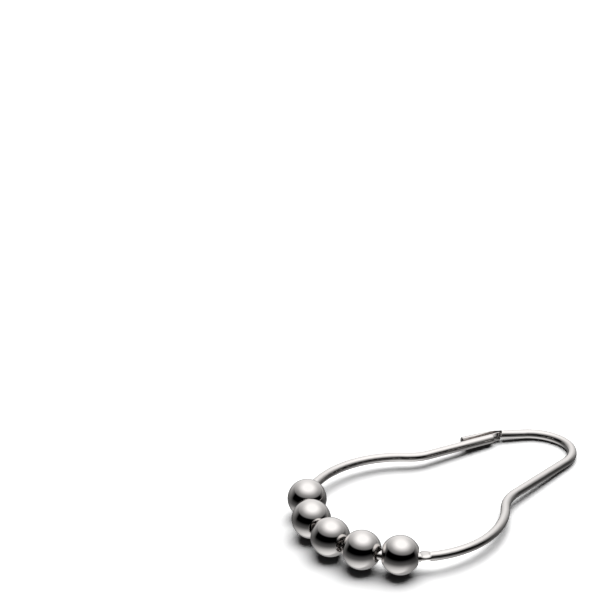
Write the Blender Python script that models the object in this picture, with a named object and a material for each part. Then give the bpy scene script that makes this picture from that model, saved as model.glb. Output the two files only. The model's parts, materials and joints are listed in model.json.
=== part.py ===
"""Shower curtain hook: a sprung wire loop that closes with an interlocking latch, and a row of roller balls.

The loop is drawn in its own plane. Its wide circle is centred on that plane's origin and its narrow bend
lies towards +Y. The part lies as it comes to rest: the balls stand on the floor, the wire hangs in the end
balls' holes, and the narrow bend touches the floor, so the plane leans down towards +Y.
"""

import math

import bmesh
import bpy
from mathutils import Vector

MM = 0.001

# Wire
WIRE_DIAMETER = 2.3 * MM
WIDE_RADIUS = 24.0 * MM            # centreline of the wide circle that goes round the rod
PLAIN_KINK_START = math.radians(137.0)  # where the plain leg's kink begins, measured round from -Y
PLAIN_KINK_RADIUS = 12.3 * MM
PLAIN_SPLAY = math.radians(8.7)    # the plain leg's slant to the loop's length
GATE_KINK_START = math.radians(133.4)
GATE_KINK_RADIUS = 10.4 * MM
GATE_SPLAY = math.radians(12.2)
BEND_RADIUS = 8.1 * MM             # the narrow bend on the plain leg's side

# Latch: the gate's tongue lies in a notch of the catch
GATE_LENGTH = 21.5 * MM            # from the gate's kink to the notch's step
TONGUE_LENGTH = 2.7 * MM
TONGUE_CUT = 1.15 * MM             # taken off the gate's inner side
TONGUE_TIP = 0.3 * MM              # the length over which its tip narrows
TONGUE_TIP_SIZE = 0.75             # the tip's share of the tongue's thickness
LATCH_GAP = 0.3 * MM
RAMP_SLANT = math.radians(22.0)    # the catch crosses the gate's line at this angle
RAMP_LEAD = 5.6 * MM               # straight wire between the bend and the step
RAMP_LENGTH = 2.7 * MM             # notched wire behind the step
NOTCH_WALL = 0.65 * MM             # wire left outside the notch
FINGER_SLANT = math.radians(5.0)   # the catch's finger still leans away from the gate
FINGER_ROOT = 1.14 * MM            # the finger's thickness where it leaves the notch
FINGER_LENGTH = 8.3 * MM
FINGER_BEND_RADIUS = 5.0 * MM
TIP_ROUNDING = 0.3 * MM
TIP_ANGLES = (math.radians(35), math.radians(70))

# Roller balls
BALL_COUNT = 5
BALL_DIAMETER = 9.5 * MM
BALL_WALL = 0.35 * MM
BORE_CLEARANCE = 0.65 * MM         # all round the wire
REST_GAP = 0.15 * MM               # left under the wire where it hangs in the end balls
BALL_GAP = 0.15 * MM               # between neighbours, where they are closest
ROW_SHIFT = math.radians(-0.9)     # the row has slid a little towards the gate

# Stops pinched in the wire beside the end balls
STOP_OVERSIZE = 0.2 * MM           # what a stop is wider than a ball's hole
STOP_LENGTH = 2.6 * MM
STOP_THICKNESS = 1.3 * MM
STOP_GAP = 0.3 * MM

# Fineness of the round surfaces
WIRE_SIDES = 20
BALL_SIDES = 28
ARC_STEP = math.radians(5.0)
FINGER_BEND_STEPS = 2
STOP_STEPS = 8
SHOULDER = 0.2 * MM                # the round wire's last ring before a cut
LIP_STEPS = 4
SHELL_STEPS = 12

WIRE_RADIUS = WIRE_DIAMETER / 2
BALL_RADIUS = BALL_DIAMETER / 2
BORE_RADIUS = WIRE_RADIUS + BORE_CLEARANCE
LIP_RADIUS = BALL_WALL / 2
LIP_OFFSET = BORE_RADIUS + LIP_RADIUS
LIP_REACH = math.sqrt((BALL_RADIUS - LIP_RADIUS) ** 2 - LIP_OFFSET ** 2)
BALL_HALF_LENGTH = LIP_REACH + LIP_RADIUS
FLAT_LIMIT = 0.9 * WIRE_RADIUS     # a cut never comes nearer to the wire's surface
MERGE = 0.001 * MM

# The wire bows through each straight hole, so the balls' centres sit inside it by half of the bow
WIRE_BOW = WIDE_RADIUS - math.sqrt(WIDE_RADIUS ** 2 - LIP_REACH ** 2)
BALL_CIRCLE = WIDE_RADIUS - WIRE_BOW / 2


def direction(heading):
    return Vector((math.cos(heading), math.sin(heading)))


def left_of(heading):
    return Vector((-math.sin(heading), math.cos(heading)))


def arc_offset(radius, heading, turn):
    """How far a left-hand arc that starts at a heading takes the pen."""
    return radius * (left_of(heading) - left_of(heading + turn))


def ball_pitch():
    """Angle between neighbours whose inner lips are BALL_GAP apart."""
    across = 2 * (BALL_CIRCLE - LIP_OFFSET)
    along = 2 * LIP_REACH
    apart = 2 * LIP_RADIUS + BALL_GAP
    return 2 * (math.asin(apart / math.hypot(across, along)) + math.atan2(along, across))


def round_wire(share):
    """A section gives the inward and upward distance of its point at a share of the way round, -1 to 1."""
    return WIRE_RADIUS * math.cos(math.pi * share), WIRE_RADIUS * math.sin(math.pi * share)


class Latch:
    """The gate's line and reach, and the flats that keep gate and catch LATCH_GAP apart."""

    def __init__(self):
        kink = (WIDE_RADIUS + GATE_KINK_RADIUS) * Vector(
            (-math.sin(GATE_KINK_START), -math.cos(GATE_KINK_START))
        )
        self.gate_heading = math.radians(270) - GATE_SPLAY
        self.outward = -left_of(self.gate_heading)
        self.gate_foot = kink - GATE_KINK_RADIUS * self.outward
        self.ramp_heading = self.gate_heading - RAMP_SLANT
        self.finger_heading = self.gate_heading - FINGER_SLANT
        step_on_gate = self.gate_foot - GATE_LENGTH * direction(self.gate_heading)
        finger_offset = LATCH_GAP + FINGER_ROOT
        step_offset = finger_offset - RAMP_LENGTH * math.sin(RAMP_SLANT)
        self.step = step_on_gate + step_offset * self.outward

        # The step's face slants with the ramp, so it comes nearest at the tongue's inner flat
        slant_reach = (step_offset + WIRE_RADIUS - TONGUE_CUT) * math.tan(RAMP_SLANT)
        self.reach = GATE_LENGTH - LATCH_GAP / math.cos(RAMP_SLANT) - slant_reach

    def gate_flat(self, point, heading):
        """Inward distance from a point of the catch to the flat that faces the gate."""
        offset = (point - self.gate_foot).dot(self.outward)
        clear = WIRE_RADIUS + LATCH_GAP
        return (offset - clear) / left_of(heading).dot(-self.outward)

    def notch_flat(self, point, heading):
        """Inward distance, negative outside, from a point of the gate to the flat that faces the notch."""
        ramp_left = left_of(self.ramp_heading)
        wall_face = WIRE_RADIUS - NOTCH_WALL - LATCH_GAP
        offset = (point - self.step).dot(ramp_left)
        return (-wall_face - offset) / left_of(heading).dot(ramp_left)


class Pen:
    """Draws the centreline and notes a station, with its section, wherever the wire gets a ring."""

    def __init__(self, point, heading):
        self.point = point.copy()
        self.heading = heading
        self.stations = []

    def mark(self, section=round_wire):
        self.stations.append((self.point.copy(), self.heading, section))

    def move(self, length):
        self.point += length * direction(self.heading)

    def line(self, length, section=round_wire):
        self.move(length)
        self.mark(section)

    def arc(self, radius, turn, steps=None, sections=None):
        """Left turns are positive. A section can be given for each step."""
        steps = steps or math.ceil(abs(turn) / ARC_STEP)
        centre = self.point + math.copysign(radius, turn) * left_of(self.heading)
        for step in range(1, steps + 1):
            self.heading += turn / steps
            self.point = centre - math.copysign(radius, turn) * left_of(self.heading)
            self.mark(sections[step - 1] if sections else round_wire)


def halved(flat, scale=1.0):
    """A round section cut to a D: flat is the distance from the wire's centre to the cut on its inner side."""
    flat = max(-FLAT_LIMIT, min(FLAT_LIMIT, flat))
    half_chord = math.sqrt(WIRE_RADIUS ** 2 - flat ** 2)
    corner = math.acos(flat / WIRE_RADIUS)

    def section(share):
        if abs(share) <= 0.5:
            return scale * flat, scale * half_chord * 2 * share
        angle = math.copysign(corner + (math.pi - corner) * (2 * abs(share) - 1), share)
        return scale * WIRE_RADIUS * math.cos(angle), scale * WIRE_RADIUS * math.sin(angle)

    return section


def tongue(flat, outer, scale=1.0):
    """The gate's tongue: the outer half of the wire, with a flat on the outside where the notch needs one."""
    half_round = halved(flat)

    def section(share):
        inward, height = half_round(share)
        return scale * max(inward, -outer), scale * height

    return section


def stop_section(share):
    """The wire pinched flat, so that an ear grows on its inner side; share runs from 0 to 1."""
    ear = 2 * BORE_RADIUS + STOP_OVERSIZE - WIRE_DIAMETER
    squeeze = 1 - share * (1 - STOP_THICKNESS / WIRE_DIAMETER)

    def section(way_round):
        inward, height = round_wire(way_round)
        return inward + share * ear * max(0.0, inward / WIRE_RADIUS), height * squeeze

    return section


def draw_gate(pen, latch):
    """From the tongue's tip to the wide circle."""
    def mark_tongue(scale=1.0):
        outer = -latch.notch_flat(pen.point, pen.heading)
        pen.mark(tongue(WIRE_RADIUS - TONGUE_CUT, outer, scale))

    mark_tongue(TONGUE_TIP_SIZE)
    pen.move(TONGUE_TIP)
    mark_tongue()
    pen.move(TONGUE_LENGTH - TONGUE_TIP)
    mark_tongue()
    pen.mark()
    pen.line(SHOULDER)
    pen.line(latch.reach - TONGUE_LENGTH - SHOULDER)
    pen.arc(GATE_KINK_RADIUS, -(latch.gate_heading - math.radians(360) + GATE_KINK_START))


def draw_wide_circle(pen):
    """Round the rod, with a stop beside each end of the row of balls."""
    half_row = (BALL_COUNT - 1) / 2 * ball_pitch()
    mouth = math.asin(BALL_HALF_LENGTH / WIDE_RADIUS)
    near_side = half_row + mouth + STOP_GAP / WIDE_RADIUS
    stop_turn = STOP_LENGTH / WIDE_RADIUS
    shares = [math.sqrt(math.sin(math.pi * step / STOP_STEPS)) for step in range(1, STOP_STEPS)]
    stop = [stop_section(share) for share in shares] + [round_wire]
    pen.arc(WIDE_RADIUS, GATE_KINK_START - near_side - stop_turn + ROW_SHIFT)
    pen.arc(WIDE_RADIUS, stop_turn, STOP_STEPS, stop)
    pen.arc(WIDE_RADIUS, 2 * near_side)
    pen.arc(WIDE_RADIUS, stop_turn, STOP_STEPS, stop)
    pen.arc(WIDE_RADIUS, PLAIN_KINK_START - near_side - stop_turn - ROW_SHIFT)


def draw_plain_leg_and_bend(pen, latch):
    """The leg's length and the bend's wider radius are the two that close the loop on the latch."""
    leg_heading = math.radians(90) + PLAIN_SPLAY
    pen.arc(PLAIN_KINK_RADIUS, -(PLAIN_KINK_START - leg_heading))
    tight_turn = math.radians(180) - leg_heading
    wide_turn = latch.ramp_heading - math.radians(180)
    ramp_start = latch.step - RAMP_LEAD * direction(latch.ramp_heading)
    span = ramp_start - pen.point - arc_offset(BEND_RADIUS, leg_heading, tight_turn)
    leg_way = direction(leg_heading)
    bend_way = arc_offset(1.0, math.radians(180), wide_turn)
    determinant = leg_way.cross(bend_way)
    leg_length = span.cross(bend_way) / determinant
    wide_bend_radius = leg_way.cross(span) / determinant
    pen.heading = leg_heading
    pen.line(leg_length)
    pen.arc(BEND_RADIUS, tight_turn)
    pen.arc(wide_bend_radius, wide_turn)


def draw_catch(pen, latch):
    """The ramp with its notch, then the finger that lies along the outside of the gate."""
    notch = halved(NOTCH_WALL - WIRE_RADIUS)
    pen.line(RAMP_LEAD - SHOULDER)
    pen.line(SHOULDER)
    pen.mark(notch)
    turn = latch.finger_heading - latch.ramp_heading
    tangent = FINGER_BEND_RADIUS * math.tan(turn / 2)
    pen.line(RAMP_LENGTH - tangent, notch)

    def mark_finger(scale=1.0):
        pen.mark(halved(latch.gate_flat(pen.point, pen.heading), scale))

    mark_finger()
    start = len(pen.stations)
    pen.arc(FINGER_BEND_RADIUS, turn, FINGER_BEND_STEPS)
    bends = pen.stations[start:]
    del pen.stations[start:]
    for point, heading, _ in bends:
        pen.point, pen.heading = point, heading
        mark_finger()
    pen.move(FINGER_LENGTH - tangent - TIP_ROUNDING)
    mark_finger()
    for angle in TIP_ANGLES:
        pen.move(TIP_ROUNDING / len(TIP_ANGLES))
        mark_finger(math.cos(angle))


def loft(stations):
    """Skins one ring of points for each station and caps both ends."""
    mesh = bmesh.new()
    rings = []
    for point, heading, section in stations:
        ring = []
        for side in range(WIRE_SIDES):
            inward, height = section(2 * side / WIRE_SIDES - 1)
            place = point + inward * left_of(heading)
            ring.append(mesh.verts.new((place.x, place.y, height)))
        rings.append(ring)
    for ring, following in zip(rings, rings[1:]):
        for side in range(WIRE_SIDES):
            beside = (side + 1) % WIRE_SIDES
            mesh.faces.new((ring[side], ring[beside], following[beside], following[side]))
    mesh.faces.new(rings[0])
    mesh.faces.new(rings[-1])
    return mesh


def finish_mesh(mesh, name):
    """Joins what meets, turns the faces outwards and shades the round parts smooth."""
    bmesh.ops.remove_doubles(mesh, verts=mesh.verts, dist=MERGE)
    bmesh.ops.recalc_face_normals(mesh, faces=mesh.faces)
    data = bpy.data.meshes.new(name)
    mesh.to_mesh(data)
    mesh.free()
    data.shade_smooth()
    data.set_sharp_from_angle(angle=math.radians(40))
    return data


def arc_points(centre, radius, start, end, steps):
    return [
        centre + radius * direction(start + (end - start) * step / steps)
        for step in range(steps + 1)
    ]


def ball_mesh():
    """A hollow bead: a spherical shell with a round hole at each pole, whose edges are half-round lips."""
    pole = math.atan2(LIP_OFFSET, LIP_REACH)
    far_pole = math.pi - pole
    inner_radius = BALL_RADIUS - BALL_WALL
    centre = Vector((0, 0))
    far_lip = Vector((-LIP_REACH, LIP_OFFSET))
    lip = Vector((LIP_REACH, LIP_OFFSET))
    stretches = (
        arc_points(centre, BALL_RADIUS, pole, far_pole, SHELL_STEPS),
        arc_points(far_lip, LIP_RADIUS, far_pole, far_pole + math.pi, LIP_STEPS),
        arc_points(centre, inner_radius, far_pole, pole, SHELL_STEPS // 2),
        arc_points(lip, LIP_RADIUS, pole + math.pi, pole + 2 * math.pi, LIP_STEPS),
    )
    profile = [point for stretch in stretches for point in stretch[:-1]]
    mesh = bmesh.new()
    verts = [mesh.verts.new((point.x, 0, point.y)) for point in profile]
    edges = [mesh.edges.new((verts[i], verts[(i + 1) % len(verts)])) for i in range(len(verts))]
    bmesh.ops.spin(
        mesh,
        geom=verts + edges,
        cent=(0, 0, 0),
        axis=(1, 0, 0),
        angle=2 * math.pi,
        steps=BALL_SIDES,
        use_merge=True,
    )
    return finish_mesh(mesh, "roller_ball")


def metal(name, colour, roughness):
    material = bpy.data.materials.new(name)
    material.use_nodes = True
    shader = material.node_tree.nodes["Principled BSDF"]
    shader.inputs["Base Color"].default_value = (*colour, 1.0)
    shader.inputs["Metallic"].default_value = 1.0
    shader.inputs["Roughness"].default_value = roughness
    return material


def add_object(name, data, material=None, parent=None):
    item = bpy.data.objects.new(name, data)
    if material:
        item.data.materials.append(material)
    item.parent = parent
    bpy.context.scene.collection.objects.link(item)
    return item


def clear_scene():
    for item in list(bpy.data.objects):
        bpy.data.objects.remove(item, do_unlink=True)


def build():
    clear_scene()
    latch = Latch()
    tongue_tip = latch.gate_foot - latch.reach * direction(latch.gate_heading)
    pen = Pen(tongue_tip, latch.gate_heading)
    draw_gate(pen, latch)
    draw_wide_circle(pen)
    draw_plain_leg_and_bend(pen, latch)
    bend_top = max(point.y for point, _, _ in pen.stations)
    draw_catch(pen, latch)

    # The wire's centre hangs this much below an end ball's, and lies a wire radius up at the bend
    hang = BORE_CLEARANCE - REST_GAP
    end_angle = (BALL_COUNT - 1) / 2 * ball_pitch()
    end_y = -WIDE_RADIUS * math.cos(end_angle)
    lean = math.asin((BALL_RADIUS - hang - WIRE_RADIUS) / (bend_top - end_y))
    front = -BALL_CIRCLE * math.cos(lean) - BALL_RADIUS
    back = bend_top * math.cos(lean) + WIRE_RADIUS
    centre_y = -(front + back) / 2
    centre_z = BALL_RADIUS - hang + end_y * math.sin(lean)

    plane = add_object("loop_plane", None)
    plane.location = (0, centre_y, centre_z)
    plane.rotation_euler = (-lean, 0, 0)
    add_object("hook_wire", finish_mesh(loft(pen.stations), "hook_wire"),
               metal("drawn_wire", (0.62, 0.61, 0.60), 0.18), plane)

    ball = ball_mesh()
    ball.materials.append(metal("polished_ball", (0.66, 0.65, 0.64), 0.08))
    tilt = plane.rotation_euler.to_matrix()
    for number in range(BALL_COUNT):
        angle = ROW_SHIFT - end_angle + number * ball_pitch()
        across, along = BALL_CIRCLE * math.sin(angle), -BALL_CIRCLE * math.cos(angle)
        roller = add_object(f"roller_ball_{number + 1}", ball)
        roller.location = (across, along * math.cos(lean) + centre_y, BALL_RADIUS)
        bore = tilt @ direction(angle).to_3d()
        roller.rotation_euler = bore.to_track_quat("X", "Z").to_euler()


build()
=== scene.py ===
import json
import math

import bmesh
import bpy
from mathutils import Matrix, Vector


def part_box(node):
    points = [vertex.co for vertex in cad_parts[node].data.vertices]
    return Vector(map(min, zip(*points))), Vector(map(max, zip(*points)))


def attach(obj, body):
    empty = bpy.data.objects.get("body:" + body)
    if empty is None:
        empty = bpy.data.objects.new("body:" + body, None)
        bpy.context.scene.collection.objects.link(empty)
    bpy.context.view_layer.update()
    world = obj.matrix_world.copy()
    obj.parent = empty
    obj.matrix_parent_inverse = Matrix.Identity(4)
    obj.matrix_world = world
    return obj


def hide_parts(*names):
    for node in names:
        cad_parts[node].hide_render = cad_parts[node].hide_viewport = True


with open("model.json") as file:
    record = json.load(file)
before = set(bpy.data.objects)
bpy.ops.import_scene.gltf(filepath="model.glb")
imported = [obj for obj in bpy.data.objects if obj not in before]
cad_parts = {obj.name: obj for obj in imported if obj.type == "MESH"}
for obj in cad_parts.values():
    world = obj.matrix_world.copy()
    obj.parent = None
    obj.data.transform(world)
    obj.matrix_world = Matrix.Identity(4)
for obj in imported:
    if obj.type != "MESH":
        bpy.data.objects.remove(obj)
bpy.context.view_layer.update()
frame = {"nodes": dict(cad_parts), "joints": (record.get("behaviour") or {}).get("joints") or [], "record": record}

MM = 0.001

# The photograph's view, found from the balls and the loop in it
VIEW_AZIMUTH = math.radians(47.7)
VIEW_ELEVATION = math.radians(32.1)
VIEW_ROLL = math.radians(-0.4)
VIEW_DISTANCE = 760 * MM
VIEW_ANGLE = math.radians(10.92)
AIM_RIGHT = -25.25 * MM            # the photograph's middle, seen from the middle of the wide end
AIM_UP = 53.0 * MM
CLIP_NEAR = 0.01
CLIP_FAR = 20

# Floor
FLOOR_SIZE = 3.0
FLOOR_COLOUR = (0.9, 0.9, 0.9, 1)
FLOOR_SHOWN = (1.6, 1.6, 1.6, 1)   # the camera sees it whiter, so that only its shadows are grey

# Studio: directions are a height above the horizon and a turn to the right of straight away from the camera
LAMP_SIZE = 2.7
LAMP_DISTANCE = 2.0
LAMP_HEIGHT = math.radians(60)
LAMP_TURN = math.radians(14)
LAMP_POWER = 55
BACKDROP = (1, 1, 1, 1)
METAL_VIEW = 1.5                   # strength of the studio as the metal sees it
AMBIENT = 0.05                     # and as it lights the floor
BEFORE_FLOOR = 0.5                 # a ray with fewer bounces off the floor than this has had none

# Brightness of the studio's parts at an angle in degrees from their middle
GLOW_HEIGHT = math.radians(79)
GLOW_TURN = math.radians(32)
GLOW = (
    (22, 1), (29, 0.84), (36, 0.65), (44, 0.45), (51, 0.29), (59, 0.19), (66, 0.13), (69, 0.02), (72, 0),
)
WALL = ((0, 0.70), (20, 0.60), (30, 0.47), (50, 0.26), (70, 0.11), (88, 0.01), (92, 0))
WALL_FOOT = ((88, 1), (100, 0.5), (114, 0.1), (124, 0))       # from straight up
TABLE = (
    (0, 0.72), (19, 0.68), (34, 0.52), (41, 0.43), (49, 0.30), (56, 0.17), (64, 0.08), (86, 0.01), (92, 0),
)                                                             # from straight down
TABLE_SIDE = math.radians(-140)    # the side on which the table is bright
TABLE_SHADE = ((75, 1), (110, 0.6), (150, 0.45))

# Metal
STEEL = (0.68, 0.655, 0.64)
NOISE_DETAIL = 3
NOISE_RANGE = (0.3, 0.7)           # of the noise's values, few lie outside
WIPE_MARKS = (700, 700, 700)       # per metre
BALL_ROUGHNESS = (0.015, 0.04)
PRESSED = (3.9 * MM, 4.3 * MM)     # from the ball's middle along its bore: the ring bent in round the hole
PRESSED_ROUGHNESS = 0.12           # more than the rest of the ball
WIRE_ROUGHNESS = (0.03, 0.13)
STREAKS = (150, 150, 2500)         # per metre: long along the wire, fine across it
STREAK_DEPTH = 0.06 * MM
STREAK_STRENGTH = 0.5

# Beads
BEAD_WALL = 0.35 * MM
BEAD_BORE_RADIUS = 1.8 * MM
BEAD_SIDES = 96
BEAD_STEPS = 48
LIP_STEPS = 10

# Wire
MERGE_DISTANCE = 0.001 * MM
SHARP_ANGLE = math.radians(40)


def view_axes():
    """The photograph's looking, right and up directions."""
    east, north = math.sin(VIEW_AZIMUTH), math.cos(VIEW_AZIMUTH)
    look = Vector((
        -east * math.cos(VIEW_ELEVATION),
        north * math.cos(VIEW_ELEVATION),
        -math.sin(VIEW_ELEVATION),
    ))
    right = Vector((north, east, 0))
    return look, right, right.cross(look)


def studio_direction(height, turn=0.0):
    look, right, _ = view_axes()
    away = Vector((look.x, look.y, 0)).normalized()
    level = away * math.cos(turn) + right * math.sin(turn)
    return level * math.cos(height) + Vector((0, 0, math.sin(height)))


def wide_end_middle():
    """The middle of the circle that the balls' centres lie on, at the height of the floor."""
    first, middle, last = (frame["joints"][place] for place in (0, len(frame["joints"]) // 2, -1))
    turn = Vector(first["axis"]).angle(Vector(last["axis"]))
    chord = (Vector(first["pos_m"]) - Vector(last["pos_m"])).length
    inward = Vector((0, 0, 1)).cross(Vector(middle["axis"])).normalized()
    centre = Vector(middle["pos_m"]) + chord / (2 * math.sin(turn / 2)) * inward
    return Vector((centre.x, centre.y, 0))


def wire_plane_normal():
    """Square to the plane of the loop, in which the balls' axes lie."""
    first, last = (Vector(frame["joints"][place]["axis"]) for place in (0, -1))
    return first.cross(last).normalized()


def link(item):
    bpy.context.scene.collection.objects.link(item)
    return item


def add_camera():
    look, right, up = view_axes()
    data = bpy.data.cameras.new("photo_camera")
    data.angle = VIEW_ANGLE
    data.clip_start = CLIP_NEAR
    data.clip_end = CLIP_FAR
    camera = link(bpy.data.objects.new("photo_camera", data))
    middle = wide_end_middle()
    place = middle - look * VIEW_DISTANCE
    aim = middle + right * AIM_RIGHT + up * AIM_UP - place
    upright = Matrix((right, up, -look)).transposed()
    turned = look.rotation_difference(aim).to_matrix() @ upright @ Matrix.Rotation(VIEW_ROLL, 3, "Z")
    camera.matrix_world = Matrix.Translation(place) @ turned.to_4x4()
    bpy.context.scene.camera = camera


def add_lamp():
    """One large soft lamp for the floor. The metal mirrors the studio in its place."""
    data = bpy.data.lights.new("lamp", "AREA")
    data.shape = "DISK"
    data.size = LAMP_SIZE
    data.energy = LAMP_POWER
    lamp = link(bpy.data.objects.new("lamp", data))
    reach = studio_direction(LAMP_HEIGHT, LAMP_TURN)
    lamp.location = reach * LAMP_DISTANCE
    lamp.rotation_euler = (-reach).to_track_quat("-Z", "Y").to_euler()
    lamp.visible_glossy = False


def add_node(tree, kind, inputs, **settings):
    """Inputs are given by name, each a value or the socket that feeds it."""
    node = tree.nodes.new("ShaderNode" + kind)
    for name, value in settings.items():
        setattr(node, name, value)
    for name, value in inputs.items():
        if isinstance(value, bpy.types.NodeSocket):
            tree.links.new(value, node.inputs[name])
        else:
            node.inputs[name].default_value = value
    return node


def ramp(tree, value, stops):
    """Greys at places from 0 to 1."""
    node = add_node(tree, "ValToRGB", {"Fac": value})
    elements = node.color_ramp.elements
    elements.remove(elements[1])
    elements[0].position = stops[0][0]
    for place, _ in stops[1:]:
        elements.new(place)
    for element, (_, grey) in zip(elements, sorted(stops)):
        element.color = (grey, grey, grey, 1)
    return node.outputs["Color"]


def brightness_round(tree, direction, middle, stops):
    """Grey by the angle between a direction and the middle of a bright part."""
    nearness = add_node(tree, "VectorMath", {0: direction, 1: middle}, operation="DOT_PRODUCT")
    share = add_node(tree, "MapRange", {"Value": nearness.outputs["Value"], "From Min": -1.0})
    places = [((math.cos(math.radians(angle)) + 1) / 2, grey) for angle, grey in stops]
    return ramp(tree, share.outputs["Result"], places)


def mix(tree, factor, a, b, blend="MIX"):
    node = add_node(tree, "Mix", {"Factor": factor}, data_type="RGBA", blend_type=blend)
    for name, value in (("A", a), ("B", b)):
        socket = next(item for item in node.inputs if item.name == name and item.type == "RGBA")
        if isinstance(value, bpy.types.NodeSocket):
            tree.links.new(value, socket)
        else:
            socket.default_value = value
    return next(item for item in node.outputs if item.type == "RGBA")


def studio_brightness(tree):
    """A bright top, a pale wall behind the object, a table that is pale below it, and a dark room."""
    direction = add_node(tree, "TexCoord", {}).outputs["Generated"]
    flat = add_node(tree, "VectorMath", {0: direction, 1: (1, 1, 0)}, operation="MULTIPLY")
    level = add_node(tree, "VectorMath", {0: flat.outputs["Vector"]}, operation="NORMALIZE")
    side = level.outputs["Vector"]
    glow = brightness_round(tree, direction, studio_direction(GLOW_HEIGHT, GLOW_TURN), GLOW)
    wall = mix(
        tree, 1.0,
        brightness_round(tree, side, studio_direction(0), WALL),
        brightness_round(tree, direction, (0, 0, 1), WALL_FOOT), "MULTIPLY",
    )
    table = mix(
        tree, 1.0,
        brightness_round(tree, direction, (0, 0, -1), TABLE),
        brightness_round(tree, side, studio_direction(0, TABLE_SIDE), TABLE_SHADE), "MULTIPLY",
    )
    return mix(tree, 1.0, mix(tree, 1.0, glow, wall, "SCREEN"), table, "SCREEN")


def add_surroundings():
    """White to the camera. The metal mirrors the studio, which also lights the floor a little."""
    world = bpy.data.worlds.new("studio")
    bpy.context.scene.world = world
    world.use_nodes = True
    tree = world.node_tree
    studio = studio_brightness(tree)
    for_metal = add_node(tree, "VectorMath", {0: studio, "Scale": METAL_VIEW}, operation="SCALE")
    for_floor = add_node(tree, "VectorMath", {0: studio, "Scale": AMBIENT}, operation="SCALE")
    path = add_node(tree, "LightPath", {})
    direct = add_node(
        tree, "Math", {0: path.outputs["Diffuse Depth"], 1: BEFORE_FLOOR}, operation="LESS_THAN",
    )
    mirrored = add_node(
        tree, "Math", {0: path.outputs["Is Glossy Ray"], 1: direct.outputs["Value"]}, operation="MULTIPLY",
    )
    seen = mix(tree, mirrored.outputs["Value"], for_floor.outputs["Vector"], for_metal.outputs["Vector"])
    shown = mix(tree, path.outputs["Is Camera Ray"], seen, BACKDROP)
    tree.links.new(shown, tree.nodes["Background"].inputs["Color"])


def add_floor():
    """White paper without any gloss. The metal doesn't mirror it."""
    half = FLOOR_SIZE / 2
    mesh = bpy.data.meshes.new("floor")
    corners = [(-half, -half, 0), (half, -half, 0), (half, half, 0), (-half, half, 0)]
    mesh.from_pydata(corners, [], [(0, 1, 2, 3)])
    floor = link(bpy.data.objects.new("floor", mesh))
    floor.visible_glossy = False
    material = bpy.data.materials.new("white_paper")
    material.use_nodes = True
    tree = material.node_tree
    tree.nodes.remove(tree.nodes["Principled BSDF"])
    path = add_node(tree, "LightPath", {})
    colour = mix(tree, path.outputs["Is Camera Ray"], FLOOR_COLOUR, FLOOR_SHOWN)
    paint = add_node(tree, "BsdfDiffuse", {"Color": colour})
    tree.links.new(paint.outputs["BSDF"], tree.nodes["Material Output"].inputs["Surface"])
    mesh.materials.append(material)


def piece_place(tree):
    """Where a point lies in the piece's own space."""
    return add_node(tree, "TexCoord", {}).outputs["Object"]


def noise(tree, scale, turn=(0, 0, 0)):
    """The scale gives the number of spots per metre along each axis of the piece, after the turn."""
    mapped = add_node(tree, "Mapping", {"Vector": piece_place(tree), "Rotation": turn, "Scale": scale})
    spots = add_node(tree, "TexNoise", {
        "Vector": mapped.outputs["Vector"], "Scale": 1.0, "Detail": NOISE_DETAIL,
    })
    return spots.outputs["Fac"]


def spread(tree, value, source, target):
    """A number that goes through the target range as the value goes through the source range."""
    node = add_node(tree, "MapRange", {
        "Value": value,
        "From Min": source[0], "From Max": source[1],
        "To Min": target[0], "To Max": target[1],
    })
    return node.outputs["Result"]


def steel(name):
    material = bpy.data.materials.new(name)
    material.use_nodes = True
    shader = material.node_tree.nodes["Principled BSDF"]
    shader.inputs["Base Color"].default_value = (*STEEL, 1)
    shader.inputs["Metallic"].default_value = 1
    return material, material.node_tree, shader


def polished_steel():
    """Mirror polish with faint wipe marks, duller where the sheet was pressed in round the bore."""
    material, tree, shader = steel("polished_ball")
    marks = spread(tree, noise(tree, WIPE_MARKS), NOISE_RANGE, BALL_ROUGHNESS)
    split = add_node(tree, "SeparateXYZ", {"Vector": piece_place(tree)})
    reach = add_node(tree, "Math", {0: split.outputs["X"]}, operation="ABSOLUTE").outputs["Value"]
    pressed = spread(tree, reach, PRESSED, (0, PRESSED_ROUGHNESS))
    roughness = add_node(tree, "Math", {0: marks, 1: pressed}, operation="ADD")
    tree.links.new(roughness.outputs["Value"], shader.inputs["Roughness"])
    return material


def drawn_steel(plane_normal):
    """Bright wire with fine marks along its length, left by the drawing die."""
    material, tree, shader = steel("drawn_wire")
    level = plane_normal.rotation_difference(Vector((0, 0, 1))).to_euler()
    streaks = noise(tree, STREAKS, level)
    tree.links.new(spread(tree, streaks, NOISE_RANGE, WIRE_ROUGHNESS), shader.inputs["Roughness"])
    bump = add_node(tree, "Bump", {
        "Strength": STREAK_STRENGTH, "Distance": STREAK_DEPTH, "Height": streaks,
    })
    tree.links.new(bump.outputs["Normal"], shader.inputs["Normal"])
    return material


def arc_points(centre, radius, start, end, steps):
    return [
        centre + radius * Vector((math.cos(angle), math.sin(angle)))
        for angle in (start + (end - start) * step / steps for step in range(steps + 1))
    ]


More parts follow.
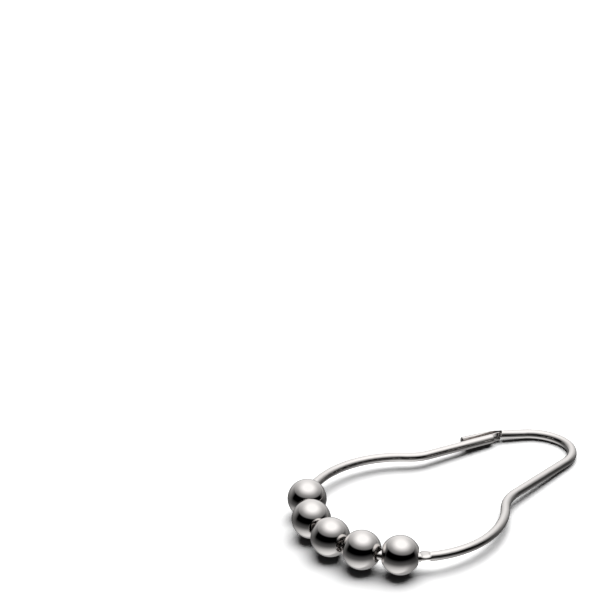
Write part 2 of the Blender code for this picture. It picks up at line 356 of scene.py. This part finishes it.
def bead_mesh(radius):
    """A spherical shell with a hole at each pole, whose edges are half-round lips. The hole runs along X."""
    lip_radius = BEAD_WALL / 2
    lip_offset = BEAD_BORE_RADIUS + lip_radius
    lip_reach = math.sqrt((radius - lip_radius) ** 2 - lip_offset ** 2)
    pole = math.atan2(lip_offset, lip_reach)
    far_pole = math.pi - pole
    centre = Vector((0, 0))
    stretches = (
        arc_points(centre, radius, pole, far_pole, BEAD_STEPS),
        arc_points(Vector((-lip_reach, lip_offset)), lip_radius, far_pole, far_pole + math.pi, LIP_STEPS),
        arc_points(centre, radius - BEAD_WALL, far_pole, pole, BEAD_STEPS // 2),
        arc_points(Vector((lip_reach, lip_offset)), lip_radius, pole + math.pi, pole + math.tau, LIP_STEPS),
    )
    profile = [point for stretch in stretches for point in stretch[:-1]]
    mesh = bmesh.new()
    verts = [mesh.verts.new((point.x, 0, point.y)) for point in profile]
    edges = [mesh.edges.new((verts[i - 1], verts[i])) for i in range(len(verts))]
    bmesh.ops.spin(mesh, geom=verts + edges, cent=(0, 0, 0), axis=(1, 0, 0), angle=math.tau,
                   steps=BEAD_SIDES, use_merge=True)
    bmesh.ops.recalc_face_normals(mesh, faces=mesh.faces)
    data = bpy.data.meshes.new("bead")
    mesh.to_mesh(data)
    mesh.free()
    data.shade_smooth()
    return data


def add_beads(finish):
    for joint in frame["joints"]:
        body = joint["child"]
        node = frame["record"]["behaviour"]["bodies"][body][0]
        low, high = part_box(node)
        mesh = bead_mesh((high.z - low.z) / 2)
        mesh.materials.append(finish)
        bead = link(bpy.data.objects.new(f"bead_{body[-1]}", mesh))
        bead.location = joint["pos_m"]
        bead.rotation_euler = Vector(joint["axis"]).to_track_quat("X", "Z").to_euler()
        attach(bead, body)
        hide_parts(node)


def add_wire(finish):
    """The wire's own solid, shaded smooth. Its long facets keep their shading up to the latch's edges."""
    mesh = bmesh.new()
    mesh.from_mesh(frame["nodes"]["hook_wire"].data)
    bmesh.ops.remove_doubles(mesh, verts=mesh.verts, dist=MERGE_DISTANCE)
    data = bpy.data.meshes.new("wire")
    mesh.to_mesh(data)
    mesh.free()
    data.shade_smooth()
    data.set_sharp_from_angle(angle=SHARP_ANGLE)
    data.materials.clear()
    data.materials.append(finish)
    wire = link(bpy.data.objects.new("wire", data))
    shading = wire.modifiers.new("long_facets_first", "WEIGHTED_NORMAL")
    shading.mode = "FACE_AREA"
    shading.keep_sharp = True
    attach(wire, "wire")
    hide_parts("hook_wire")


bpy.context.scene.view_settings.view_transform = "Standard"
add_camera()
add_lamp()
add_surroundings()
add_floor()
add_beads(polished_steel())
add_wire(drawn_steel(wire_plane_normal()))
